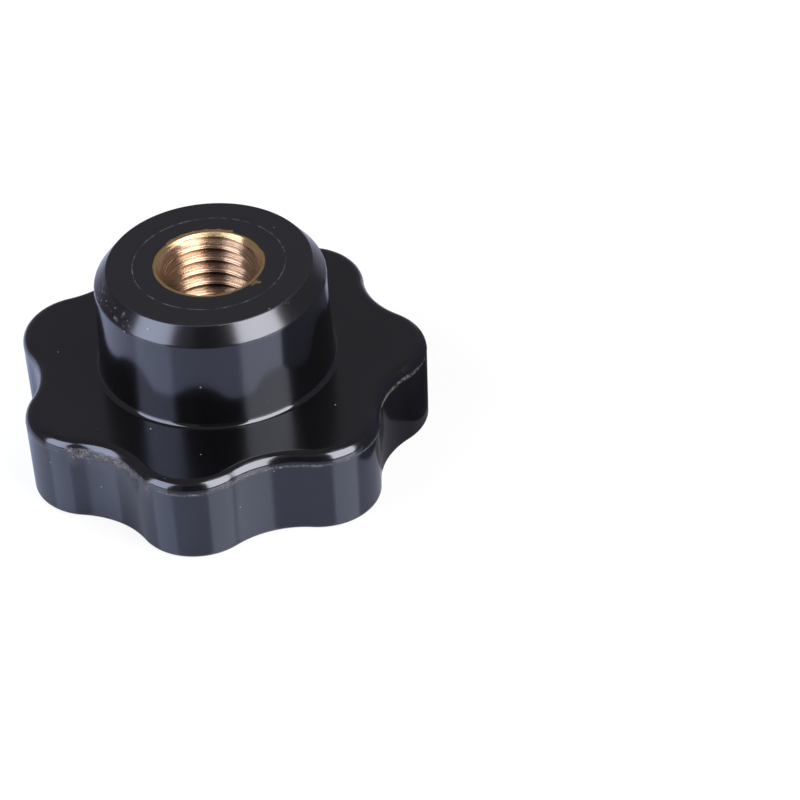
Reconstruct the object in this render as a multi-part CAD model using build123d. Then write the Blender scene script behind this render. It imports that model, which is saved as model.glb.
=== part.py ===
from build123d import *
import os
from math import cos, pi, radians, sin, sqrt, tan

# Seven-lobe star knob, moulded round a threaded brass bush.
# Millimetres. Z is the knob's axis. The crown rests on Z = 0 and the bush opens at the top of the boss.

# Star grip
lobe_count = 7
grip_diameter = 50.0        # circle that touches the lobe tips, at the parting line
lobe_radius = 7.4           # rounding of each lobe, at the parting line
hollow_radius = 10.5        # rounding of each finger hollow, at the parting line
grip_height = 11.2          # crown to the shoulder round the boss
wall_draft = 1.8            # degrees, from the parting line down to the crown
rim_radius = 1.35           # rounding between the side wall and the shoulder
rim_land = 0.1              # straight wall between that rounding and the parting line
crown_chamfer = 0.6         # between the side wall and the crown

# Boss
boss_height = 13.6          # shoulder to end face
boss_diameter = 27.6        # at the bevel's lower edge
boss_draft = 1.2            # degrees, widening downwards
boss_foot = 0.8             # flare where the boss meets the shoulder, along each of its two sides
bevel_width = 1.6           # across the radius
bevel_height = 2.1          # along the axis

# Thread M12 x 1.75: the bore is at the thread's minor diameter
thread_diameter = 12.0
thread_pitch = 1.75
thread_depth = 15.0         # end face to the bottom of the straight bore
countersink_angle = 90.0    # full angle, opening to the thread diameter
drill_point_angle = 118.0   # full angle of the blind end

# Bush: a knurled neck at the mouth, and a wider knurled barrel held inside the boss
neck_wall = 1.15            # thread diameter to the tips of the neck's knurl
neck_length = 4.0
neck_teeth = 28
neck_tooth_depth = 0.35
barrel_diameter = 16.0
barrel_teeth = 24
barrel_tooth_depth = 0.5
groove_position = 10.5      # end face to the middle of the retaining groove
groove_width = 2.4
groove_depth = 1.0
bush_floor = 2.0            # brass left under the drill point

# Sizes that follow from the ones above
half_pitch = pi / lobe_count
parting_height = grip_height - rim_radius - rim_land
knob_height = grip_height + boss_height
minor_radius = thread_diameter / 2 - 5 / 8 * thread_pitch * sqrt(3) / 2
countersink_depth = (thread_diameter / 2 - minor_radius) / tan(radians(countersink_angle / 2))
drill_point_length = minor_radius / tan(radians(drill_point_angle / 2))
bush_length = thread_depth + drill_point_length + bush_floor


def polar(radius, angle):
    return Vector(radius * cos(angle), radius * sin(angle))


def star_face():
    """Star outline at the parting line: convex lobe arcs and concave hollow arcs that meet in tangency."""
    lobe_reach = grip_diameter / 2 - lobe_radius
    arc_gap = lobe_radius + hollow_radius
    hollow_reach = lobe_reach * cos(half_pitch) + sqrt(arc_gap**2 - (lobe_reach * sin(half_pitch)) ** 2)
    lobe_centre = polar(lobe_reach, 0)
    hollow_centre = polar(hollow_reach, half_pitch)
    towards_hollow = (hollow_centre - lobe_centre).normalized()
    lobe_tip = polar(grip_diameter / 2, 0)
    hollow_bottom = polar(hollow_reach - hollow_radius, half_pitch)
    lobe_end = lobe_centre + towards_hollow * lobe_radius
    lobe_start = Vector(lobe_end.X, -lobe_end.Y)
    pitch_degrees = 360 / lobe_count
    lobe = ThreePointArc(lobe_start, lobe_tip, lobe_end)
    hollow = ThreePointArc(lobe_end, hollow_bottom, lobe_start.rotate(Axis.Z, pitch_degrees))
    arcs = []
    for index in range(lobe_count):
        turn = Rot(0, 0, index * pitch_degrees)
        arcs.append(turn * lobe)
        arcs.append(turn * hollow)
    return make_face(arcs)


def grip():
    """Star grip in two mould halves: drafted wall and chamfered crown edge below, rounded rim above."""
    outline = Pos(0, 0, parting_height) * star_face()
    lower = extrude(outline, amount=parting_height, dir=(0, 0, -1), taper=wall_draft)
    lower = chamfer(lower.edges().group_by(Axis.Z)[0], crown_chamfer)
    upper = extrude(outline, amount=grip_height - parting_height)
    upper = fillet(upper.edges().group_by(Axis.Z)[-1], rim_radius)
    return lower + upper


def boss():
    """Tapered boss with its bevel and flared foot, turned from a half section that reaches into the grip."""
    bevel_bottom = knob_height - bevel_height
    top_radius = boss_diameter / 2
    draft_slope = tan(radians(boss_draft))
    foot_radius = top_radius + (boss_height - bevel_height) * draft_slope
    flare_top = grip_height + boss_foot
    flare_radius = top_radius + (bevel_bottom - flare_top) * draft_slope
    section = make_face(
        Polyline(
            (0, parting_height),
            (foot_radius, parting_height),
            (foot_radius + boss_foot, grip_height),
            (flare_radius, flare_top),
            (top_radius, bevel_bottom),
            (top_radius - bevel_width, knob_height),
            (0, knob_height),
            close=True,
        )
    )
    return revolve(Plane.XZ * section, Axis.Z)


def knurl(tip_diameter, tooth_depth, teeth, length):
    """Straight-knurled bar standing on Z = 0, with one sharp tooth at each step."""
    tip_radius = tip_diameter / 2
    points = []
    for index in range(teeth):
        points.append(polar(tip_radius, 2 * pi * index / teeth))
        points.append(polar(tip_radius - tooth_depth, 2 * pi * (index + 0.5) / teeth))
    return extrude(make_face(Polyline(points, close=True)), amount=length)


def retaining_groove():
    """Ring that is turned out of the barrel, so that the moulding locks the bush in."""
    barrel_radius = barrel_diameter / 2
    ring = Circle(barrel_radius) - Circle(barrel_radius - groove_depth)
    groove_bottom = knob_height - groove_position - groove_width / 2
    return extrude(Pos(0, 0, groove_bottom) * ring, amount=groove_width)


def bush_blank():
    """Outside of the bush: the neck at the end face, with the barrel under it down to the closed end."""
    neck_diameter = thread_diameter + 2 * neck_wall
    neck = knurl(neck_diameter, neck_tooth_depth, neck_teeth, neck_length)
    barrel = knurl(barrel_diameter, barrel_tooth_depth, barrel_teeth, bush_length - neck_length)
    neck = Pos(0, 0, knob_height - neck_length) * neck
    barrel = Pos(0, 0, knob_height - bush_length) * barrel
    return neck + barrel - retaining_groove()


def bore():
    """Blind tapping hole with its countersink and drill point, opening upwards at the end face."""
    section = make_face(
        Polyline(
            (0, 0),
            (thread_diameter / 2, 0),
            (minor_radius, -countersink_depth),
            (minor_radius, -thread_depth),
            (0, -thread_depth - drill_point_length),
            close=True,
        )
    )
    return Pos(0, 0, knob_height) * revolve(Plane.XZ * section, Axis.Z)


def knob_body():
    """Moulded grip and boss in one piece, with the bed that the bush leaves in it."""
    return grip() + boss() - bush_blank()


def threaded_insert():
    """Brass bush that the knob is moulded round."""
    return bush_blank() - bore()


os.makedirs("parts", exist_ok=True)
export_step(knob_body(), "parts/knob_body.step")
export_step(threaded_insert(), "parts/threaded_insert.step")
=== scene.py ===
from math import atan2, cos, degrees, pi, radians, sin, sqrt, tan

import bmesh
import bpy
from bpy.props import FloatProperty, FloatVectorProperty, IntProperty, PointerProperty
from mathutils import Matrix, Vector, noise


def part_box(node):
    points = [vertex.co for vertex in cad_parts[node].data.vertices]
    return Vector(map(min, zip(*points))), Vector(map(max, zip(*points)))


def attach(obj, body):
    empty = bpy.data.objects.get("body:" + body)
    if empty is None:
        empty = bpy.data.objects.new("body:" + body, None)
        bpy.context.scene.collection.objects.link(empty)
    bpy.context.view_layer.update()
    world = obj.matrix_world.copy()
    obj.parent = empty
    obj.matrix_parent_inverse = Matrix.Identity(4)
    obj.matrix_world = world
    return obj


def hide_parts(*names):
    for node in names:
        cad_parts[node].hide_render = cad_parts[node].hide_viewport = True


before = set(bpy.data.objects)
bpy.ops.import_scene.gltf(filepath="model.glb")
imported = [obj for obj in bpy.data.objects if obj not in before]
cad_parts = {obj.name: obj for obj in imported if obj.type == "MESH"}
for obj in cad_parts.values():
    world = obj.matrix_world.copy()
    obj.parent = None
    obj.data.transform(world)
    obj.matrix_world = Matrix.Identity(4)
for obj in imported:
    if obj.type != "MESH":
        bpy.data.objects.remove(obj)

bl_info = {
    "name": "Star Knob",
    "version": (1, 0, 0),
    "blender": (4, 5, 0),
    "location": "3D View > Sidebar > Star Knob",
    "description": "Moulded star knob with a threaded brass bush, and a table to look at it on",
    "category": "Add Mesh",
}

BODY = "root"
MM = 0.001
Z_AXIS = Vector((0.0, 0.0, 1.0))
SAME_PLACE = 1e-6
SAME_HEIGHT = 1e-7
CAD_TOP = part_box("knob_body")[1].z
CAD_BUSH_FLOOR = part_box("threaded_insert")[0].z


def length(label, millimetres, note):
    """Length that the sidebar shows in the scene's unit."""
    return FloatProperty(
        name=label, description=note, default=millimetres * MM, min=0.0, precision=4, unit="LENGTH",
        subtype="DISTANCE",
    )


def angle(label, value, note):
    """Angle that the sidebar shows in degrees."""
    return FloatProperty(
        name=label, description=note, default=radians(value), unit="ROTATION", subtype="ANGLE"
    )


def amount(label, value, note):
    """Plain number that isn't negative."""
    return FloatProperty(name=label, description=note, default=value, min=0.0, precision=3)


def colour(label, value, note):
    """Linear colour swatch."""
    return FloatVectorProperty(
        name=label, description=note, default=value, min=0.0, max=1.0, size=3, subtype="COLOR"
    )


def count(label, value, least, note):
    """Whole number that the sidebar keeps at or over the least that makes sense."""
    return IntProperty(name=label, description=note, default=value, min=least)


class MouldingSizes(bpy.types.PropertyGroup):
    """Sizes of the black moulding."""

    lobes: count("Lobes", 7, 3, "Lobes of the star")
    grip_diameter: length("Grip diameter", 50.0, "Circle over the lobe tips at the parting line")
    lobe_radius: length("Lobe radius", 7.4, "Rounding of each lobe at the parting line")
    hollow_radius: length("Hollow radius", 10.5, "Rounding of each finger hollow at the parting line")
    grip_height: length("Grip height", 11.2, "Crown to shoulder")
    wall_draft: angle("Wall draft", 1.8, "Taper from the parting line down to the crown")
    rim_radius: length("Rim radius", 1.35, "Rounding between the side wall and the shoulder")
    rim_land: length("Rim land", 0.1, "Straight wall over the parting line")
    crown_edge: length("Crown edge", 0.6, "Rounding between the side wall and the crown")
    boss_diameter: length("Boss diameter", 27.6, "At the bevel's lower edge")
    boss_draft: angle("Boss draft", 1.2, "Taper of the boss, widening downwards")
    foot_radius: length("Foot radius", 0.62, "Rounding where the boss meets the shoulder")
    bevel_width: length("Bevel width", 1.6, "Bevel round the end face, across the radius")
    bevel_height: length("Bevel height", 2.1, "Bevel round the end face, along the axis")
    edge_softness: length("Edge softness", 0.22, "Rounding of the bevel's two edges")
    ring_diameter: length("Fine ring diameter", 18.15, "Fine ring that the mould leaves on the end face")
    ring_width: length("Fine ring width", 0.16, "Width of that ring")
    ring_depth: length("Fine ring depth", 0.035, "Depth of that ring")
    film: length("Film", 0.03, "Thickness of the film of plastic over the rim of the bush")


class BushSizes(bpy.types.PropertyGroup):
    """Sizes of the brass bush."""

    thread_diameter: length("Thread diameter", 12.0, "Major diameter of the thread")
    thread_pitch: length("Thread pitch", 1.75, "Pitch of the thread")
    thread_length: length("Thread length", 12.6, "End face to the thread's run-out")
    mouth_diameter: length("Mouth diameter", 12.6, "Countersink at the end face")
    bore_depth: length("Bore depth", 15.0, "End face to the bottom of the straight bore")
    drill_angle: angle("Drill point", 118.0, "Full angle of the blind end")
    neck_radius: length("Neck radius", 7.15, "To the tips of the neck's knurl")
    neck_length: length("Neck length", 4.0, "Length of the neck at the mouth")
    neck_depth: length("Neck tooth depth", 0.35, "Depth of the neck's knurl")
    barrel_radius: length("Barrel radius", 8.0, "To the tips of the barrel's knurl")
    barrel_depth: length("Barrel tooth depth", 0.5, "Depth of the barrel's knurl")
    groove_radius: length("Groove radius", 7.0, "Bottom of the retaining groove")
    groove_top: length("Groove top", 9.3, "End face to the groove's upper side")
    groove_bottom: length("Groove bottom", 11.7, "End face to the groove's lower side")
    neck_teeth: count("Neck teeth", 28, 8, "Teeth of the neck's knurl")
    barrel_teeth: count("Barrel teeth", 24, 8, "Teeth of the barrel's knurl")


class KnobFinish(bpy.types.PropertyGroup):
    """Colours and surface of the knob."""

    plastic: colour("Plastic", (0.002, 0.002, 0.0022), "Black phenolic moulding")
    sheen: colour("Sheen", (0.86, 0.88, 1.0), "Tint of the plastic's reflections")
    filed: colour("Filed plastic", (0.21, 0.19, 0.165), "Plastic laid bare where the flash was filed off")
    worn: colour("Worn plastic", (0.16, 0.17, 0.2), "Rubbed edge of the bevel")
    dust: colour("Dust", (0.4, 0.4, 0.42), "Specks of dust")
    brass: colour("Brass", (0.50, 0.36, 0.20), "Countersink and faced ring of the bush")
    faced: colour("Faced ring", (0.46, 0.31, 0.14), "Matt ring of the bush round its mouth")
    thread: colour("Cut thread", (0.48, 0.315, 0.21), "Freshly cut thread")
    # The tool marks' colour is also painted into the thread's roots as shade
    groove: colour("Tool marks", (0.08, 0.035, 0.015), "Fine dark lines along the thread")
    stain: colour("Stain", (0.3, 0.15, 0.06), "Blotches of tarnish on the brass")
    polished: amount("Polished roughness", 0.07, "Roughness of the polished moulding")
    satin: amount("Satin roughness", 0.42, "Roughness of the end face")


class TableSettings(bpy.types.PropertyGroup):
    """Camera, lamps and room."""

    lens: length("Lens", 239.83, "Focal length on a 36 mm sensor")
    elevation: angle("Elevation", 37.738, "Camera above the horizon")
    turn: angle("Turn", 1.785, "Camera's heading, clockwise from +Y")
    roll: angle("Roll", -3.999, "Camera turned about its own axis")
    distance: length("Distance", 625.51, "Camera to the point that it looks at")
    right_lamp: amount("Right lamp", 7.8, "Radiance of the lamp at the front right")
    left_lamp: amount("Left lamp", 5.2, "Radiance of the lamp at the left")
    floor_lamp: amount("Floor lamp", 16.0, "Radiance of the small lamp over the floor at the back left")
    top_lamp: amount("Top lamp", 0.8, "Radiance of the strip overhead")
    room: amount("Room", 0.2, "Radiance of the dim room")


# Edges that bend by this much or more are shaded sharp
CREASE = radians(38)


def place(name, bm, material):
    """Mesh object at the origin from a bmesh, with its material. Shading is smooth but for sharp edges."""
    bmesh.ops.recalc_face_normals(bm, faces=bm.faces)
    for face in bm.faces:
        face.smooth = True
    for edge in bm.edges:
        edge.smooth = not edge.is_manifold or edge.calc_face_angle() < CREASE
    mesh = bpy.data.meshes.new(name)
    bm.to_mesh(mesh)
    bm.free()
    mesh.materials.append(material)
    piece = bpy.data.objects.new(name, mesh)
    bpy.context.scene.collection.objects.link(piece)
    return piece


def only(kind, geom):
    """Items of one kind in what an operator returns."""
    return [item for item in geom if isinstance(item, kind)]


def edges_at(bm, height):
    """Edges that lie level at a height."""
    return [edge for edge in bm.edges if all(abs(vert.co.z - height) < SAME_HEIGHT for vert in edge.verts)]


def spin_point(bm, vert, centre, sweep, steps):
    """Turns a vertex about an upright axis, with a chain of edges behind it. Returns the last vertex."""
    turned = bmesh.ops.spin(
        bm, geom=[vert], cent=centre, axis=Z_AXIS, dvec=(0.0, 0.0, 0.0), angle=sweep, steps=steps
    )
    return only(bmesh.types.BMVert, turned["geom_last"])[0]


# Steps in each arc of the star, and the slack for telling lobe from hollow
LOBE_STEPS = 40
HOLLOW_STEPS = 24
ARC_SLACK = 1.001


def star_outline(bm, size):
    """Star outline: lobe and hollow arcs that meet in tangency. Each vertex keeps its outward direction."""
    half_pitch = pi / size.lobes
    reach = size.grip_diameter / 2 - size.lobe_radius
    gap = size.lobe_radius + size.hollow_radius
    hollow_reach = reach * cos(half_pitch) + sqrt(gap**2 - (reach * sin(half_pitch)) ** 2)
    hollow = Vector((hollow_reach * cos(half_pitch), hollow_reach * sin(half_pitch), 0.0))
    lobe = Vector((reach, 0.0, 0.0))
    lobe_half = atan2(hollow.y - lobe.y, hollow.x - lobe.x)
    hollow_half = lobe_half - half_pitch
    turns = [Matrix.Rotation(2 * pi * index / size.lobes, 4, "Z") for index in range(size.lobes)]
    start = (size.lobe_radius * cos(lobe_half), -size.lobe_radius * sin(lobe_half), 0.0)
    vert = bm.verts.new(lobe + Vector(start))
    for turn in turns:
        vert = spin_point(bm, vert, turn @ lobe, 2 * lobe_half, LOBE_STEPS)
        vert = spin_point(bm, vert, turn @ hollow, -2 * hollow_half, HOLLOW_STEPS)
    bmesh.ops.remove_doubles(bm, verts=bm.verts, dist=SAME_PLACE)
    outward = bm.verts.layers.float_vector.new("outward")
    lobes = [turn @ lobe for turn in turns]
    hollows = [turn @ hollow for turn in turns]
    for vert in bm.verts:
        centre = min(lobes, key=lambda point: (vert.co - point).length)
        if (vert.co - centre).length < size.lobe_radius * ARC_SLACK:
            vert[outward] = (vert.co - centre).normalized()
        else:
            centre = min(hollows, key=lambda point: (vert.co - point).length)
            vert[outward] = (centre - vert.co).normalized()
    return bm.edges[:]


def extruded(bm, loop):
    """Extrudes a closed loop of edges. Returns the new loop's vertices and edges."""
    made = bmesh.ops.extrude_edge_only(bm, edges=loop)["geom"]
    return only(bmesh.types.BMVert, made), only(bmesh.types.BMEdge, made)


def step_star(bm, loop, inset, rise):
    """Extrudes a star loop upwards and pulls the new one in."""
    outward = bm.verts.layers.float_vector["outward"]
    verts, edges = extruded(bm, loop)
    for vert in verts:
        vert.co += Z_AXIS * rise - vert[outward] * inset
    return edges


def step_round(bm, loop, radius, height):
    """Extrudes a loop to a circle about the knob's axis. The radius may be a function of the heading."""
    verts, edges = extruded(bm, loop)
    for vert in verts:
        reach = radius(atan2(vert.co.y, vert.co.x)) if callable(radius) else radius
        vert.co.xy = vert.co.xy.normalized() * reach
        vert.co.z = height
    return edges


def toothed(tip, depth, teeth):
    """Radius of a knurl with one sharp tooth at each step, as a function of the heading."""

    def radius(heading):
        share = (heading * teeth / (2 * pi)) % 1.0
        return tip - depth * (1 - abs(2 * share - 1))

    return radius


def bush_levels(bush, mouth):
    """Outside of the bush as radius and height, from its mouth down to the closed end."""
    neck = toothed(bush.neck_radius, bush.neck_depth, bush.neck_teeth)
    barrel = toothed(bush.barrel_radius, bush.barrel_depth, bush.barrel_teeth)
    neck_bottom = CAD_TOP - bush.neck_length
    groove_top = CAD_TOP - bush.groove_top
    groove_bottom = CAD_TOP - bush.groove_bottom
    return [
        (neck, mouth),
        (neck, neck_bottom),
        (barrel, neck_bottom),
        (barrel, groove_top),
        (bush.groove_radius, groove_top),
        (bush.groove_radius, groove_bottom),
        (barrel, groove_bottom),
        (barrel, CAD_BUSH_FLOOR),
    ]


CORNER_STEPS = 8


def rounded_section(points, corners):
    """Section as radius and height. corners maps the place of a rounded corner in the row to its setback."""
    bm = bmesh.new()
    verts = [bm.verts.new((radius, 0.0, height)) for radius, height in points]
    for pair in zip(verts, verts[1:]):
        bm.edges.new(pair)
    first = verts[0]
    for place_in_row, setback in corners.items():
        bmesh.ops.bevel(
            bm, geom=[verts[place_in_row]], offset=setback, offset_type="OFFSET", segments=CORNER_STEPS,
            profile=0.5, affect="VERTICES", clamp_overlap=True, material=-1,
        )
    row = []
    vert, edge = first, first.link_edges[0]
    while edge:
        row.append((vert.co.x, vert.co.z))
        vert = edge.other_vert(vert)
        edge = next((item for item in vert.link_edges if item is not edge), None)
    row.append((vert.co.x, vert.co.z))
    bm.free()
    return row


# Edge of the film of plastic round the brass: radii in millimetres, and headings in degrees. Where the film
# stops short, the points of the bush's knurl show beside it
FILM_RADIUS = 6.66
CREPT_IN = {"from": 16, "to": 62, "radius": 6.54}
STOPPED_SHORT = {"from": 62, "to": 136, "radius": 6.84, "teeth": 28, "point": 0.13, "sharpness": 2.2}
FILM_WANDER = 0.035
FILM_BENDS = 6.0


def film_edge(heading):
    """Radius of the plastic's edge round the brass, by its heading."""
    turned = degrees(heading) % 360
    wander = FILM_WANDER * noise.noise(Vector((cos(heading), sin(heading), 0.3)) * FILM_BENDS)
    short = STOPPED_SHORT
    if short["from"] <= turned <= short["to"]:
        tooth = abs((turned / (360 / short["teeth"]) + 0.5) % 1.0 - 0.5) * 2
        return (short["radius"] + short["point"] * max(0.0, 1 - short["sharpness"] * tooth) + wander) * MM
    if CREPT_IN["from"] <= turned < CREPT_IN["to"]:
        return (CREPT_IN["radius"] + wander) * MM
    return (FILM_RADIUS + wander) * MM


# Flash along the parting line: from and to in degrees of heading, strength, and half its height in mm
FLASH = (
    (-142, -112, 1.0, 0.5),
    (-112, -62, 0.7, 0.14),
    (-62, -38, 0.45, 0.1),
    (-38, -10, 0.9, 0.2),
    (-10, 218, 0.4, 0.1),
)
FLASH_PROUD = 0.07      # millimetres out of the wall where it is strongest
FLASH_REACH = 0.8       # millimetres from the parting line within which it is looked for
FLASH_SPREAD = 1.6      # how far it runs out, in half heights
FLASH_THINNEST = 0.1    # share of its strength that stays in its gaps
COARSE_RAGS = 1.3       # rags in a millimetre
FINE_RAGS = 3.1


def add_flash(bm, size):
    """Raises the ragged line that the mould leaves round the grip, and marks where it is."""
    mark = bm.verts.layers.float.new("flash")
    outward = bm.verts.layers.float_vector["outward"]
    parting = size.grip_height - size.rim_radius - size.rim_land
    for vert in bm.verts:
        rise = (vert.co.z - parting) / MM
        if abs(rise) > FLASH_REACH or vert[outward].length < 0.5:
            continue
        first = FLASH[0][0]
        turned = (degrees(atan2(vert.co.y, vert.co.x)) - first) % 360 + first
        _, _, strength, half = next(stretch for stretch in FLASH if turned <= stretch[1])
        rags = noise.noise(vert.co / MM * COARSE_RAGS) + 0.5 * noise.noise(vert.co / MM * FINE_RAGS)
        fade = max(0.0, 1 - (rise / half / FLASH_SPREAD) ** 2)
        vert[mark] = strength * fade * min(1.0, max(FLASH_THINNEST, 0.5 + rags))
        vert.co += vert[outward] * vert[mark] * FLASH_PROUD * MM


CROWN_STEPS = 6
RIM_STEPS = 14
WALL_HEIGHTS = (2.5, 5.0, 7.5)      # millimetres over the crown
FLASH_LINES = (0.7, 0.45, 0.32, 0.22, 0.14, 0.07, 0.0)      # millimetres under the parting line


def grip_levels(size, hold):
    """Insets and heights of the star's loops, from the crown up to the shoulder."""
    slope = tan(size.wall_draft)
    parting = size.grip_height - size.rim_radius - size.rim_land
    edge = size.crown_edge
    levels = [(parting * slope + edge + hold, 0.0)]
    for index in range(CROWN_STEPS + 1):
        lean = pi / 2 * index / CROWN_STEPS
        height = edge * (1 - cos(lean))
        levels.append(((parting - height) * slope + edge * (1 - sin(lean)), height))
    for height in (edge + hold, *(height * MM for height in WALL_HEIGHTS)):
        levels.append(((parting - height) * slope, height))
    for below in FLASH_LINES:
        levels.append((below * MM * slope, parting - below * MM))
    levels.append((0.0, parting + size.rim_land / 2))
    for index in range(RIM_STEPS + 1):
        lean = pi / 2 * index / RIM_STEPS
        height = parting + size.rim_land + size.rim_radius * sin(lean)
        levels.append((size.rim_radius * (1 - cos(lean)), height))
    levels.append((size.rim_radius + hold, size.grip_height))
    return levels


END_FACE_RING = 7.6     # radius in millimetres of a loop just outside the film's ragged edge
UPPER_SHARPER = 0.8     # the bevel's upper edge against its lower one


def boss_levels(size, hold):
    """Radii and heights of the boss, from the shoulder up to the end face and in towards the brass."""
    top_radius = size.boss_diameter / 2
    bevel_foot = CAD_TOP - size.bevel_height
    foot = top_radius + (bevel_foot - size.grip_height) * tan(size.boss_draft)
    ring = size.ring_diameter / 2
    points = [
        (foot + size.foot_radius + hold, size.grip_height),
        (foot, size.grip_height),
        (top_radius, bevel_foot),
        (top_radius - size.bevel_width, CAD_TOP),
        (ring + size.ring_width, CAD_TOP),
        (ring + size.ring_width / 2, CAD_TOP),
        (ring, CAD_TOP - size.ring_depth),
        (ring - size.ring_width / 2, CAD_TOP),
        (ring - size.ring_width, CAD_TOP),
        (END_FACE_RING * MM, CAD_TOP),
    ]
    softness = size.edge_softness
    return rounded_section(points, {1: size.foot_radius, 2: softness, 3: softness * UPPER_SHARPER})


HOLDING_LOOP = 0.06 * MM            # beside a rounding, so that the flat next to it stays flat
FILM_LIP = 0.05 * MM
CROWN_RINGS = (12.0, 6.0, 2.0)      # radii in millimetres, in towards the middle of the crown


def moulding(size, bush):
    """Black moulding: star grip, boss with its bevel, and the bed of the bush."""
    bm = bmesh.new()
    hold = HOLDING_LOOP
    levels = grip_levels(size, hold)
    crown = star_outline(bm, size)
    outward = bm.verts.layers.float_vector["outward"]
    for vert in bm.verts:
        vert.co -= vert[outward] * levels[0][0]
    loop = crown
    for (inset, height), (next_inset, next_height) in zip(levels, levels[1:]):
        loop = step_star(bm, loop, next_inset - inset, next_height - height)
    for radius, height in boss_levels(size, hold):
        loop = step_round(bm, loop, radius, height)
    loop = step_round(bm, loop, lambda heading: film_edge(heading) + FILM_LIP, CAD_TOP)
    loop = step_round(bm, loop, film_edge, CAD_TOP)
    loop = step_round(bm, loop, film_edge, CAD_TOP - size.film)
    for radius, height in bush_levels(bush, CAD_TOP - size.film):
        loop = step_round(bm, loop, radius, height)
    bmesh.ops.contextual_create(bm, geom=loop)
    add_flash(bm, size)
    loop = crown
    for radius in CROWN_RINGS:
        loop = step_round(bm, loop, radius * MM, 0.0)
    bmesh.ops.contextual_create(bm, geom=loop)
    return bm


THREAD_STEPS = 224          # in one turn
SECTION_STEPS = 16          # in one pitch
THREAD_ROUNDNESS = 0.4      # 0 for straight flanks, and 1 for a wave
RUNOUT = 1.5                # millimetres over which the thread fades out
POINT = 1e-7                # radius at the tip of the drill point


def minor_radius(bush):
    """Radius of the bore at the crests of the thread."""
    return bush.thread_diameter / 2 - 5 / 8 * bush.thread_pitch * sqrt(3) / 2


def thread_section(bush):
    """One pitch of the wall of the thread, from the middle of a root to the next, as radius and height."""
    minor = minor_radius(bush)
    depth = bush.thread_diameter / 2 - minor
    section = []
    for index in range(SECTION_STEPS + 1):
        share = index / SECTION_STEPS
        wave = 0.5 + 0.5 * cos(2 * pi * share)
        flanks = abs(1 - 2 * share)
        bite = THREAD_ROUNDNESS * wave + (1 - THREAD_ROUNDNESS) * flanks
        section.append((minor + depth * bite, bush.thread_pitch * share))
    return section


def tapped_bore(bm, bush, mouth):
    """Tapped bore with its countersink, run-out and drill point. Returns the loop at the mouth."""
    pitch = bush.thread_pitch
    minor = minor_radius(bush)
    floor = CAD_TOP - bush.bore_depth
    lowest = floor - pitch
    verts = [bm.verts.new((radius, 0.0, lowest + height)) for radius, height in thread_section(bush)]
    edges = [bm.edges.new(pair) for pair in zip(verts, verts[1:])]
    bmesh.ops.spin(
        bm, geom=verts + edges, cent=(0, 0, 0), axis=Z_AXIS, dvec=(0, 0, pitch / THREAD_STEPS),
        angle=2 * pi, steps=THREAD_STEPS,
    )
    turn = bm.verts[:] + bm.edges[:] + bm.faces[:]
    for index in range(1, int((mouth - lowest) / pitch) + 2):
        copy = bmesh.ops.duplicate(bm, geom=turn)["geom"]
        bmesh.ops.translate(bm, verts=only(bmesh.types.BMVert, copy), vec=(0, 0, pitch * index))
    bmesh.ops.remove_doubles(bm, verts=bm.verts, dist=SAME_PLACE)
    runout = CAD_TOP - bush.thread_length
    for vert in bm.verts:
        fade = min(1.0, max(0.0, (vert.co.z - runout) / (RUNOUT * MM)))
        reach = minor + (vert.co.xy.length - minor) * fade
        vert.co.xy = vert.co.xy.normalized() * max(reach, bush.mouth_diameter / 2 + vert.co.z - mouth)
    for height, side in ((mouth, 1), (floor, -1)):
        bmesh.ops.bisect_plane(
            bm, geom=bm.verts[:] + bm.edges[:] + bm.faces[:], plane_co=(0, 0, height),
            plane_no=(0, 0, side), clear_outer=True,
        )
    step_round(bm, edges_at(bm, floor), POINT, floor - minor / tan(bush.drill_angle / 2))
    bmesh.ops.remove_doubles(bm, verts=bm.verts, dist=SAME_PLACE)
    return edges_at(bm, mouth)


MOUTH_LIP = 0.03 * MM       # narrow loop that keeps the mouth's edge crisp


def threaded_bush(bush, mouth):
    """Brass bush: tapped bore, faced ring at the mouth and knurled outside."""
    bm = bmesh.new()
    loop = tapped_bore(bm, bush, mouth)
    loop = step_round(bm, loop, bush.mouth_diameter / 2 + MOUTH_LIP, mouth)
    for radius, height in bush_levels(bush, mouth):
        loop = step_round(bm, loop, radius, height)
    bmesh.ops.contextual_create(bm, geom=loop)
    return bm


class Wire:
    """Output socket of a node. Sums, products and powers with numbers or other wires become nodes."""

    def __init__(self, nodes, socket):
        self.nodes = nodes
        self.socket = socket

    def __add__(self, other):
        return self.nodes.combine("ADD", self, other)

    def __radd__(self, other):
        return self.nodes.combine("ADD", other, self)

    def __sub__(self, other):
        return self.nodes.combine("SUBTRACT", self, other)

    def __rsub__(self, other):
        return self.nodes.combine("SUBTRACT", other, self)

    def __mul__(self, other):
        return self.nodes.combine("MULTIPLY", self, other)

    def __rmul__(self, other):
        return self.nodes.combine("MULTIPLY", other, self)

    def __truediv__(self, other):
        return self.nodes.combine("DIVIDE", self, other)

    def __pow__(self, other):
        return self.nodes.combine("POWER", self, other)


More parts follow.
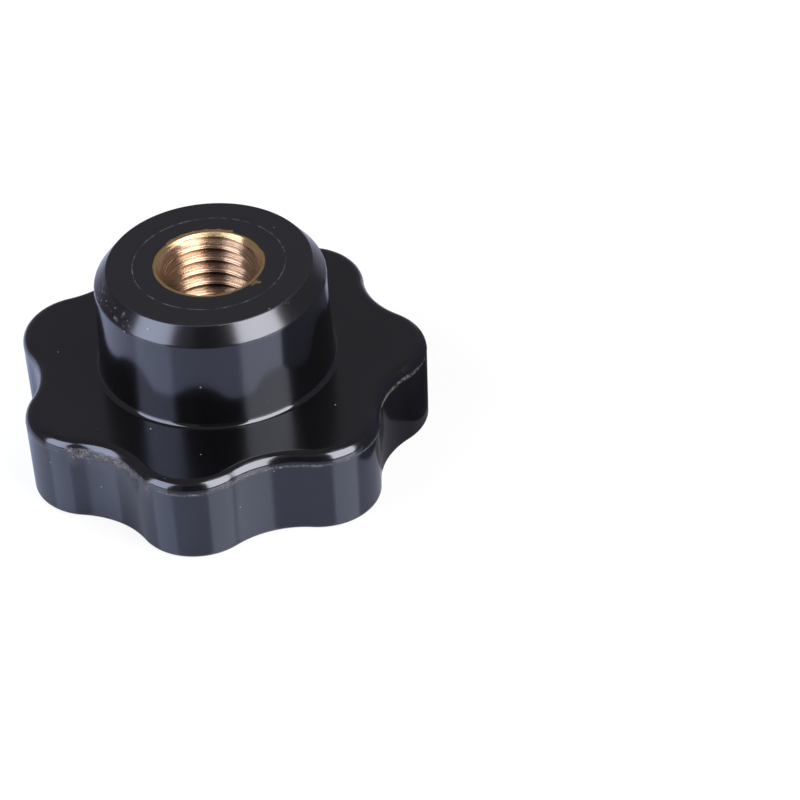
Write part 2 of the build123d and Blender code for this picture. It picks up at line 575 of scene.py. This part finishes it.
class Nodes:
    """Node tree of a material or of the world, with one way to add a node."""

    def __init__(self, owner):
        owner.use_nodes = True
        self.tree = owner.node_tree
        self.tree.nodes.clear()

    def add(self, kind, settings, inputs, output=0):
        """Adds a node: settings first, then numbers, colours and wires on its inputs. Returns an output."""
        node = self.tree.nodes.new("ShaderNode" + kind)
        for name, value in settings.items():
            setattr(node, name, value)
        for name, value in inputs.items():
            if isinstance(value, Wire):
                self.tree.links.new(value.socket, node.inputs[name])
            else:
                node.inputs[name].default_value = value
        return Wire(self, node.outputs[output]) if node.outputs else None

    def combine(self, operation, first, second):
        """Arithmetic on two terms: vectors by Vector Math, and plain numbers by Math."""
        terms = [first, second]
        if any(isinstance(term, Wire) and term.socket.type == "VECTOR" for term in terms):
            terms = [term if isinstance(term, Wire) else (term,) * 3 for term in terms]
            return self.add("VectorMath", {"operation": operation}, dict(enumerate(terms)))
        return self.add("Math", {"operation": operation}, dict(enumerate(terms)))

    def maths(self, operation, *terms):
        return self.add("Math", {"operation": operation}, dict(enumerate(terms)))

    def step(self, value, start, end):
        """Smooth step from 0 at start to 1 at end."""
        limits = {"Value": value, "From Min": start, "From Max": end, "To Min": 0.0, "To Max": 1.0}
        return self.add("MapRange", {"interpolation_type": "SMOOTHSTEP"}, limits)

    def band(self, value, start, end, soft):
        """1 between start and end, and 0 outside, with soft edges."""
        return self.step(value, start - soft, start + soft) * self.step(value, end + soft, end - soft)

    def noise(self, where, scale, detail=2.0, roughness=0.5):
        """Cloudy noise about 0.5."""
        inputs = {"Vector": where, "Scale": scale, "Detail": detail, "Roughness": roughness}
        return self.add("TexNoise", {}, inputs)

    def patches(self, where, patch):
        """Patches of 1 on 0, from noise and the two of its values between which it steps."""
        scale, detail, roughness, start, end = patch
        return self.step(self.noise(where, scale, detail, roughness), start, end)

    def wavy(self, along, wander, detail, roughness):
        """Noise along one number, such as fine lines, that wanders a little."""
        inputs = {"W": along + wander, "Detail": detail, "Roughness": roughness}
        return self.add("TexNoise", {"noise_dimensions": "1D"}, inputs)

    def blend(self, factor, first, second):
        """Colour or number between two."""
        if is_colour(first) or is_colour(second):
            return self.add("Mix", {"data_type": "RGBA"}, {0: factor, 6: first, 7: second}, 2)
        return self.add("Mix", {"data_type": "FLOAT"}, {0: factor, 2: first, 3: second})

    def place(self):
        """Place on the piece in millimetres: the vector, x, y, z, distance from the axis, and heading."""
        where = self.add("TexCoord", {}, {}, "Object") * (1 / MM)
        x, y, z = (self.add("SeparateXYZ", {}, {0: where}, axis) for axis in range(3))
        return where, x, y, z, (x * x + y * y) ** 0.5, self.maths("ARCTAN2", y, x)

    def surface(self, shader):
        self.add("OutputMaterial", {}, {"Surface": shader})


def is_colour(term):
    """Whether a term of a blend is a colour and not a number."""
    return term.socket.type == "RGBA" if isinstance(term, Wire) else isinstance(term, tuple)


def rgba(colour_value):
    """Colour with full alpha, as a socket takes it."""
    return (*colour_value, 1.0)


def summed(base, shares, zones):
    """Number plus a share of each zone that shares names."""
    for name, share in shares.items():
        base = base + share * zones[name]
    return base


# Zones of the moulding by height: the level that each starts at and what is added to it, in millimetres, the
# level that it ends at and what is added, and its soft edge
ZONES = {
    "bevel": ("bevel_foot", 0.0, "top", -0.1, 0.08),
    "rim": ("parting", 0.0, "shoulder", -0.2, 0.1),
    "shoulder": ("shoulder", -0.02, "shoulder", 0.02, 0.01),
    "boss_wall": ("shoulder", 0.5, "bevel_foot", 0.0, 0.3),
    "scuffed": ("bevel_foot", -0.1, "top", -0.5, 0.25),
    "nicked": ("top", -0.4, "top", -0.1, 0.06),
}
END_FACE = (-0.16, -0.02)       # millimetres from the top, in which the end face's finish comes in
UNDER_PARTING = (0.1, -0.1)     # millimetres from the parting line, in which the wall's finish comes in

# Patches: cells of noise in a millimetre, its detail and roughness, and the two values that it steps between
SPECKLE = (5.5, 3.0, 0.8, 0.42, 0.6)
PITS = (6.0, 2.0, 0.7, 0.52, 0.46)
DASHES = (1.1, 3.0, 0.65, 0.42, 0.66)
SCUFFS = (1.7, 4.0, 0.7, 0.55, 0.68)
NICKS = (2.2, 4.0, 0.6, 0.64, 0.72)
CHIPPED = (3.0, 3.0, 0.5, 0.4, 0.5)

# Noise: its cells in a millimetre and its detail
CLOUDS = (0.55, 3.0)
WAVES = (0.2, 1.0)
GRAINS = (3.2, 3.0)
SCARS = (2.2, 3.0)
MOTTLE = (5.0, 3.0)

SCUFFED_SIDE = (-176, -138, 5)      # headings in degrees between which the bevel is rubbed, and a soft edge
HAIRLINE = 0.05                     # half width and soft edge of the fine ring's worn line, in millimetres
DUST_CELLS = 0.4                    # in a millimetre
DUST_SIZE = (0.034, 0.022)          # as shares of a cell, from its middle
DUSTY = 0.75                        # roughness of dust and of filed plastic

# How strongly each mark shows over the colour under it
FILED_FLOOR, FILED_GAIN, PIT_DEPTH = 0.25, 1.3, 0.8
HAIRLINE_SHOWS, RUBBED_SHOWS, NICKS_SHOW = 0.5, 0.55, 0.5

# What each zone adds to the roughness, and to the height of the grain in millimetres
ROUGHER = {"cloudy": 0.05, "wall": 0.02, "bevel": 0.1, "shoulder": 0.08, "boss_wall": 0.05, "rim": 0.05}
GRAIN = 0.0002
GRAINIER = {"bevel": 0.0009, "rim": 0.0012, "end_face": 0.0016}
SATIN_MOTTLE = 0.12
WAVE_HEIGHT, SCAR_HEIGHT, RUB_DEPTH = 0.012, 0.06, 0.01
PHENOLIC_IOR = 1.75

# Chips in the film of plastic beside the bush: x, y and radius in millimetres
BARE_BRASS = ((5.25, -4.35, 0.42), (4.85, -4.85, 0.28), (5.7, -4.6, 0.22))
CHIP_EDGE = (1.2, 0.8)              # in which a chip comes in, as shares of its radius


def phenolic(scene):
    """Black moulded phenolic: polished, with a satin end face, filed flash, a rubbed bevel and some dust."""
    finish, size = scene.knob_finish, scene.knob_moulding
    material = bpy.data.materials.new("black_phenolic")
    nodes = Nodes(material)
    where, x, y, z, radius, heading = nodes.place()
    top = CAD_TOP / MM
    parting = (size.grip_height - size.rim_radius - size.rim_land) / MM
    ring = size.ring_diameter / MM / 2
    levels = {
        "top": top, "bevel_foot": top - size.bevel_height / MM, "parting": parting,
        "shoulder": size.grip_height / MM,
    }
    zones = {
        name: nodes.band(z, levels[low] + from_low, levels[high] + from_high, soft)
        for name, (low, from_low, high, from_high, soft) in ZONES.items()
    }
    zones["end_face"] = nodes.step(z, *(top + edge for edge in END_FACE))
    zones["wall"] = nodes.step(z, *(parting + edge for edge in UNDER_PARTING))
    zones["cloudy"] = nodes.noise(where, *CLOUDS)
    end_face = zones["end_face"]

    flash = nodes.add("Attribute", {"attribute_name": "flash"}, {}, "Fac")
    crumbs = FILED_FLOOR + nodes.patches(where, SPECKLE)
    filed = nodes.maths("MINIMUM", flash * crumbs * FILED_GAIN, 1.0)
    line = nodes.band(radius, ring - HAIRLINE, ring + HAIRLINE, HAIRLINE)
    hairline = line * end_face * nodes.patches(where, DASHES)
    side = nodes.band(heading, *(radians(edge) for edge in SCUFFED_SIDE))
    scuffs = nodes.patches(where, SCUFFS) * side * zones["scuffed"]
    nicks = nodes.patches(where, NICKS) * zones["nicked"]
    rubbed = nodes.maths("MAXIMUM", scuffs, nicks * NICKS_SHOW)
    cells = {"Vector": where, "Scale": DUST_CELLS, "Randomness": 1.0}
    dust = nodes.step(nodes.add("TexVoronoi", {}, cells, "Distance"), *DUST_SIZE)
    chips = [
        nodes.step(((x - chip_x) ** 2 + (y - chip_y) ** 2) ** 0.5 / chip_radius, *CHIP_EDGE)
        for chip_x, chip_y, chip_radius in BARE_BRASS
    ]
    bare = sum(chips[1:], chips[0]) * nodes.patches(where, CHIPPED) * end_face

    base = nodes.blend(hairline * HAIRLINE_SHOWS, rgba(finish.plastic), rgba(finish.worn))
    base = nodes.blend(rubbed * RUBBED_SHOWS, base, rgba(finish.worn))
    base = nodes.blend(filed * (1.0 - PIT_DEPTH * nodes.patches(where, PITS)), base, rgba(finish.filed))
    base = nodes.blend(dust, base, rgba(finish.dust))
    base = nodes.blend(bare, base, rgba(finish.faced))

    polished = summed(finish.polished, ROUGHER, zones)
    satin = finish.satin + SATIN_MOTTLE * (nodes.noise(where, *MOTTLE) - 0.5)
    rough = nodes.blend(end_face, polished, satin)
    rough = nodes.blend(nodes.maths("MAXIMUM", filed, dust), rough, DUSTY)

    waves = nodes.noise(where, *WAVES) * WAVE_HEIGHT
    grain = nodes.noise(where, *GRAINS) * summed(GRAIN, GRAINIER, zones)
    scars = filed * nodes.noise(where, *SCARS) * SCAR_HEIGHT - rubbed * RUB_DEPTH
    bump = nodes.add("Bump", {}, {"Strength": 1.0, "Distance": MM, "Height": waves + grain + scars})
    shader = {
        "Base Color": base, "Metallic": bare, "Roughness": rough, "Normal": bump, "IOR": PHENOLIC_IOR,
        "Specular Tint": rgba(finish.sheen),
    }
    nodes.surface(nodes.add("BsdfPrincipled", {}, shader))
    return material


# Fine lines that the tools leave: how many in a pitch or a millimetre, and how far they wander
LINES_IN_PITCH, LINE_WANDER = 4.6, 0.3
RINGS_IN_MM, RING_WANDER = 7.0, 0.4
LINE_NOISE = (2.0, 0.7)             # detail and roughness
RING_NOISE = (2.0, 0.5)
WANDER = (0.7, 2.0)                 # cells in a millimetre and detail
BLOTCHES = (1.3, 4.0, 0.6)          # cells in a millimetre, detail and roughness
LINE_EDGE = (0.49, 0.55)            # values of the noise between which a dark line comes in
ROOT_SHADE = (0.5, 0.7, 0.06)             # shares of a pitch between which the root is painted dark as shade, and a soft edge
LINES_SHOW, ROOT_SHADE_SHOWS, STAIN_SHOWS = 0.88, 0.85, 0.25
STAIN_EDGE = (0.5, 0.75)
CUT_FROM = (-0.3, -0.7)             # millimetres from the mouth, in which the cut thread's finish comes in
RING_EDGE = 0.05                    # soft edge of the faced ring, in millimetres
RING_DEPTH = (-0.1, -0.02)          # millimetres from the mouth, in which the faced ring's finish comes in
BRASS_ROUGH, BLOTCHY, LINED, MATT_RING = 0.11, 0.1, 0.1, 0.25
LINE_HEIGHT, BLOTCH_HEIGHT = 0.018, 0.002
BARE_METAL = 0.92                   # the rest is a thin dull film


def turned_brass(scene):
    """Bright brass: matt faced ring, turned countersink, and a cut thread with fine lines along its turns and
    painted shade in its roots.
    """
    finish, bush = scene.knob_finish, scene.knob_bush
    material = bpy.data.materials.new("turned_brass")
    nodes = Nodes(material)
    where, _, _, z, radius, heading = nodes.place()
    mouth = (CAD_TOP - scene.knob_moulding.film) / MM
    countersink = bush.mouth_diameter / MM / 2
    turn = nodes.maths("FRACT", z / (bush.thread_pitch / MM) - heading / (2 * pi))
    wander = nodes.noise(where, *WANDER)
    lines = nodes.wavy(turn * LINES_IN_PITCH, wander * LINE_WANDER, *LINE_NOISE)
    rings = nodes.wavy(radius * RINGS_IN_MM, wander * RING_WANDER, *RING_NOISE)
    blotches = nodes.noise(where, *BLOTCHES)
    beside = nodes.step(radius, countersink - RING_EDGE, countersink + RING_EDGE)
    ring = beside * nodes.step(z, *(mouth + edge for edge in RING_DEPTH))
    cut = nodes.step(z, *(mouth + edge for edge in CUT_FROM))
    # Painted shade: the root of each turn is darkened as if shaded by the crest over it
    root = nodes.band(turn, *ROOT_SHADE) * ROOT_SHADE_SHOWS
    marks = nodes.maths("MAXIMUM", nodes.step(lines, *LINE_EDGE) * LINES_SHOW, root) * cut

    base = nodes.blend(cut, rgba(finish.brass), rgba(finish.thread))
    # One dark colour serves both the tool lines and the painted shade in the roots
    base = nodes.blend(marks, base, rgba(finish.groove))
    base = nodes.blend(ring, base, rgba(finish.faced))
    base = nodes.blend(nodes.step(blotches, *STAIN_EDGE) * STAIN_SHOWS, base, rgba(finish.stain))
    rough = BRASS_ROUGH + BLOTCHY * blotches + LINED * lines * cut + MATT_RING * ring
    height = nodes.blend(cut, rings, lines) * LINE_HEIGHT + blotches * BLOTCH_HEIGHT
    bump = nodes.add("Bump", {}, {"Strength": 1.0, "Distance": MM, "Height": height})
    shader = {"Base Color": base, "Metallic": BARE_METAL, "Roughness": rough, "Normal": bump}
    nodes.surface(nodes.add("BsdfPrincipled", {}, shader))
    return material


class KNOB_OT_moulding(bpy.types.Operator):
    """Model the black moulding with its grip, boss and bevel"""

    bl_idname = "knob.moulding"
    bl_label = "Moulding"

    def execute(self, context):
        scene = context.scene
        piece = place("moulding", moulding(scene.knob_moulding, scene.knob_bush), phenolic(scene))
        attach(piece, BODY)
        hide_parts("knob_body")
        return {"FINISHED"}


class KNOB_OT_bush(bpy.types.Operator):
    """Model the brass bush with its thread"""

    bl_idname = "knob.bush"
    bl_label = "Bush"

    def execute(self, context):
        scene = context.scene
        mouth = CAD_TOP - scene.knob_moulding.film
        piece = place("bush", threaded_bush(scene.knob_bush, mouth), turned_brass(scene))
        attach(piece, BODY)
        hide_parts("threaded_insert")
        return {"FINISHED"}


# The table is laid out in metres and degrees as the camera sees it. "turn" goes round anticlockwise from the
# camera, "right" and "front" are to its right and towards it, and "lean" is 0 upright and 90 level.

# Dark cards that show in reflections only. The side card leans away from the knob on the floor and stands for
# the neighbouring knob and the shade that it casts there. The low card lies almost flat by its foot as
# painted shadow on the floor, and the front card stands behind the camera
CARDS = (
    {
        "name": "neighbour_and_shadow_card", "width": 0.042, "height": 0.034, "reach": 0.0255, "shift": -0.001,
        "lean": 35.0, "turn": 90.0,
    },
    {
        "name": "shadow_card", "width": 0.032, "height": 0.012, "reach": 0.0135, "shift": 0.005,
        "lean": 89.5, "turn": 90.0,
    },
    {
        "name": "front_card", "width": 0.62, "height": 0.95, "reach": 0.75, "shift": 0.0,
        "lean": 0.0, "turn": 0.0,
    },
)
# Lamps, each hung by the middle of its lower edge. One that is hidden shows in no reflection
LAMPS = (
    {
        "name": "right_lamp", "right": 0.52, "front": 0.56, "bottom": 0.085, "turn": 20.0, "lean": 25.0,
        "width": 0.56, "height": 0.95, "tint": (1.0, 0.99, 0.97), "hidden": False,
    },
    {
        "name": "left_lamp", "right": -0.667, "front": 0.34, "bottom": 0.06, "turn": -50.0, "lean": 22.0,
        "width": 0.44, "height": 0.72, "tint": (0.79, 0.85, 1.0), "hidden": False,
    },
    {
        "name": "floor_lamp", "right": -0.064, "front": -0.039, "bottom": 0.06, "turn": -121.0,
        "lean": 90.0, "width": 0.04, "height": 0.03, "tint": (0.79, 0.85, 1.0), "hidden": True,
    },
    {
        "name": "top_lamp", "right": 0.42, "front": 0.30, "bottom": 1.2, "turn": 10.0, "lean": 90.0,
        "width": 0.30, "height": 0.40, "tint": (1.0, 0.99, 0.97), "hidden": False,
    },
)
AIM = Vector((20.947, -13.466, 12.4)) * MM      # what the camera looks at
SENSOR = 36.0                                   # millimetres
NEAREST, FARTHEST = 0.01, 20.0                  # metres that the camera sees
FLOOR_SIDE = 8.0

# Colours and shares of the floor, the cards and the room
PAPER = (0.38, 0.41, 0.53, 1.0)
PAPER_IN_VIEW = (0.85, 0.85, 0.85, 1.0)
PAPER_SHEEN = (0.8, 0.88, 1.0, 1.0)
PAPER_ROUGH, PAPER_IOR = 0.14, 1.9
WHITE_IN_VIEW, WHITE_IN_REFLECTIONS = 0.86, 0.1
WHITE = (1.0, 1.0, 1.0, 1.0)
# Grey of the cards, and of the painted shadow that the side and low cards lay on the floor
CARD_AND_SHADOW_GREY = (0.15, 0.15, 0.18, 1.0)
ROOM_TINT = (1.0, 0.93, 1.0, 1.0)


def toward(bearing, degrees_round):
    """Level direction at so many degrees round from the camera."""
    return Vector((cos(bearing + radians(degrees_round)), sin(bearing + radians(degrees_round)), 0.0))


def hang(scene, bearing, radiance, lamp):
    """Hangs a flat lamp by the middle of its lower edge. It leans over the knob from where it is turned."""
    inward = -toward(bearing, lamp["turn"])
    lean = radians(lamp["lean"])
    up = Z_AXIS * cos(lean) + inward * sin(lean)
    back = Z_AXIS * sin(lean) - inward * cos(lean)
    foot = toward(bearing, 90.0) * lamp["right"] + toward(bearing, 0.0) * lamp["front"]
    foot += Z_AXIS * lamp["bottom"]
    data = bpy.data.lights.new(lamp["name"], "AREA")
    data.shape = "RECTANGLE"
    data.size = lamp["width"]
    data.size_y = lamp["height"]
    data.energy = radiance * pi * data.size * data.size_y
    data.color = lamp["tint"]
    light = bpy.data.objects.new(lamp["name"], data)
    axes = Matrix((up.cross(back), up, back)).transposed()
    light.visible_camera = light.visible_glossy = not lamp["hidden"]
    light.matrix_world = Matrix.Translation(foot + up * data.size_y / 2) @ axes.to_4x4()
    scene.collection.objects.link(light)


def flat_piece(name, width, height, material, matrix):
    """Flat rectangle with its place in its mesh."""
    bm = bmesh.new()
    bmesh.ops.create_grid(bm, x_segments=1, y_segments=1, size=0.5)
    bmesh.ops.scale(bm, verts=bm.verts, vec=(width, height, 1.0))
    bmesh.ops.transform(bm, verts=bm.verts, matrix=matrix)
    return place(name, bm, material)


def card_place(bearing, card):
    """Place of a card that stands on the floor and leans away from the knob."""
    out = toward(bearing, card["turn"])
    along = Z_AXIS.cross(out)
    lean = radians(card["lean"])
    up = Z_AXIS * cos(lean) + out * sin(lean)
    axes = Matrix((along, up, along.cross(up))).transposed()
    middle = out * card["reach"] + along * card["shift"] + up * card["height"] / 2
    return Matrix.Translation(middle) @ axes.to_4x4()


def floor_paper():
    """White to the camera, and paper to the light, so that the knob keeps a faint shadow."""
    material = bpy.data.materials.new("floor_paper")
    nodes = Nodes(material)
    camera = nodes.add("LightPath", {}, {}, "Is Camera Ray")
    glossy = nodes.add("LightPath", {}, {}, "Is Glossy Ray")
    through = nodes.add("LightPath", {}, {}, "Is Transmission Ray")
    grey = nodes.blend(camera, PAPER, PAPER_IN_VIEW)
    gloss = {"Base Color": grey, "Roughness": PAPER_ROUGH, "IOR": PAPER_IOR, "Specular Tint": PAPER_SHEEN}
    paper = nodes.add("BsdfPrincipled", {}, gloss)
    white = nodes.add("Emission", {}, {"Color": WHITE, "Strength": 1.0})
    share = camera * WHITE_IN_VIEW + (glossy + through) * WHITE_IN_REFLECTIONS
    nodes.surface(nodes.add("MixShader", {}, {0: share, 1: paper, 2: white}))
    return material


def dark_paper():
    """Matt dark grey of the cards, which also serves as painted shadow on the floor beside the knob."""
    material = bpy.data.materials.new("dark_paper")
    nodes = Nodes(material)
    nodes.surface(nodes.add("BsdfDiffuse", {}, {"Color": CARD_AND_SHADOW_GREY}))
    return material


def dim_room(radiance):
    """Even, dim surroundings."""
    world = bpy.data.worlds.new("room")
    nodes = Nodes(world)
    light = nodes.add("Background", {}, {"Color": ROOM_TINT, "Strength": radiance})
    nodes.add("OutputWorld", {}, {"Surface": light})
    return world


class KNOB_OT_table(bpy.types.Operator):
    """Set the floor, the lights and the camera"""

    bl_idname = "knob.table"
    bl_label = "Table"

    def execute(self, context):
        scene = context.scene
        settings = scene.knob_table
        camera = bpy.data.objects.new("camera", bpy.data.cameras.new("camera"))
        camera.data.sensor_width = SENSOR
        camera.data.lens = settings.lens / MM
        camera.data.clip_start = NEAREST
        camera.data.clip_end = FARTHEST
        heading = Matrix.Rotation(-settings.turn, 4, "Z")
        tilt = Matrix.Rotation(pi / 2 - settings.elevation, 4, "X")
        look = Matrix.Translation(AIM) @ heading @ tilt @ Matrix.Rotation(settings.roll, 4, "Z")
        camera.matrix_world = look @ Matrix.Translation((0, 0, settings.distance))
        scene.collection.objects.link(camera)
        scene.camera = camera
        spot = camera.matrix_world.to_translation()
        bearing = atan2(spot.y, spot.x)
        for lamp in LAMPS:
            hang(scene, bearing, getattr(settings, lamp["name"]), lamp)
        floor = flat_piece("floor", FLOOR_SIDE, FLOOR_SIDE, floor_paper(), Matrix.Identity(4))
        dark = dark_paper()
        # The side and low cards are painted shadow on the floor beside the knob, seen in reflections only
        for row in CARDS:
            card = flat_piece(row["name"], row["width"], row["height"], dark, card_place(bearing, row))
            card.visible_camera = card.visible_diffuse = card.visible_shadow = False
        scene.world = dim_room(settings.room)
        scene.view_settings.view_transform = "Standard"
        return {"FINISHED"}


class KNOB_PT_sidebar(bpy.types.Panel):
    """Lists the knob's pieces, its table and their settings"""

    bl_idname = "KNOB_PT_sidebar"
    bl_label = "Star Knob"
    bl_space_type = "VIEW_3D"
    bl_region_type = "UI"
    bl_category = "Star Knob"

    def draw(self, context):
        layout = self.layout
        for operator in (KNOB_OT_moulding, KNOB_OT_bush, KNOB_OT_table):
            layout.operator(operator.bl_idname)
        for name, group in GROUPS.items():
            box = layout.box()
            box.label(text=group.__doc__.rstrip("."))
            for setting in group.__annotations__:
                box.prop(getattr(context.scene, name), setting)


GROUPS = {
    "knob_moulding": MouldingSizes,
    "knob_bush": BushSizes,
    "knob_finish": KnobFinish,
    "knob_table": TableSettings,
}
CLASSES = (*GROUPS.values(), KNOB_OT_moulding, KNOB_OT_bush, KNOB_OT_table, KNOB_PT_sidebar)


def register():
    for cls in CLASSES:
        bpy.utils.register_class(cls)
    for name, group in GROUPS.items():
        setattr(bpy.types.Scene, name, PointerProperty(type=group))


def unregister():
    for name in GROUPS:
        delattr(bpy.types.Scene, name)
    for cls in reversed(CLASSES):
        bpy.utils.unregister_class(cls)


def main():
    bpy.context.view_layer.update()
    register()
    bpy.ops.knob.moulding()
    bpy.ops.knob.bush()
    bpy.ops.knob.table()


if __name__ == "__main__":
    main()
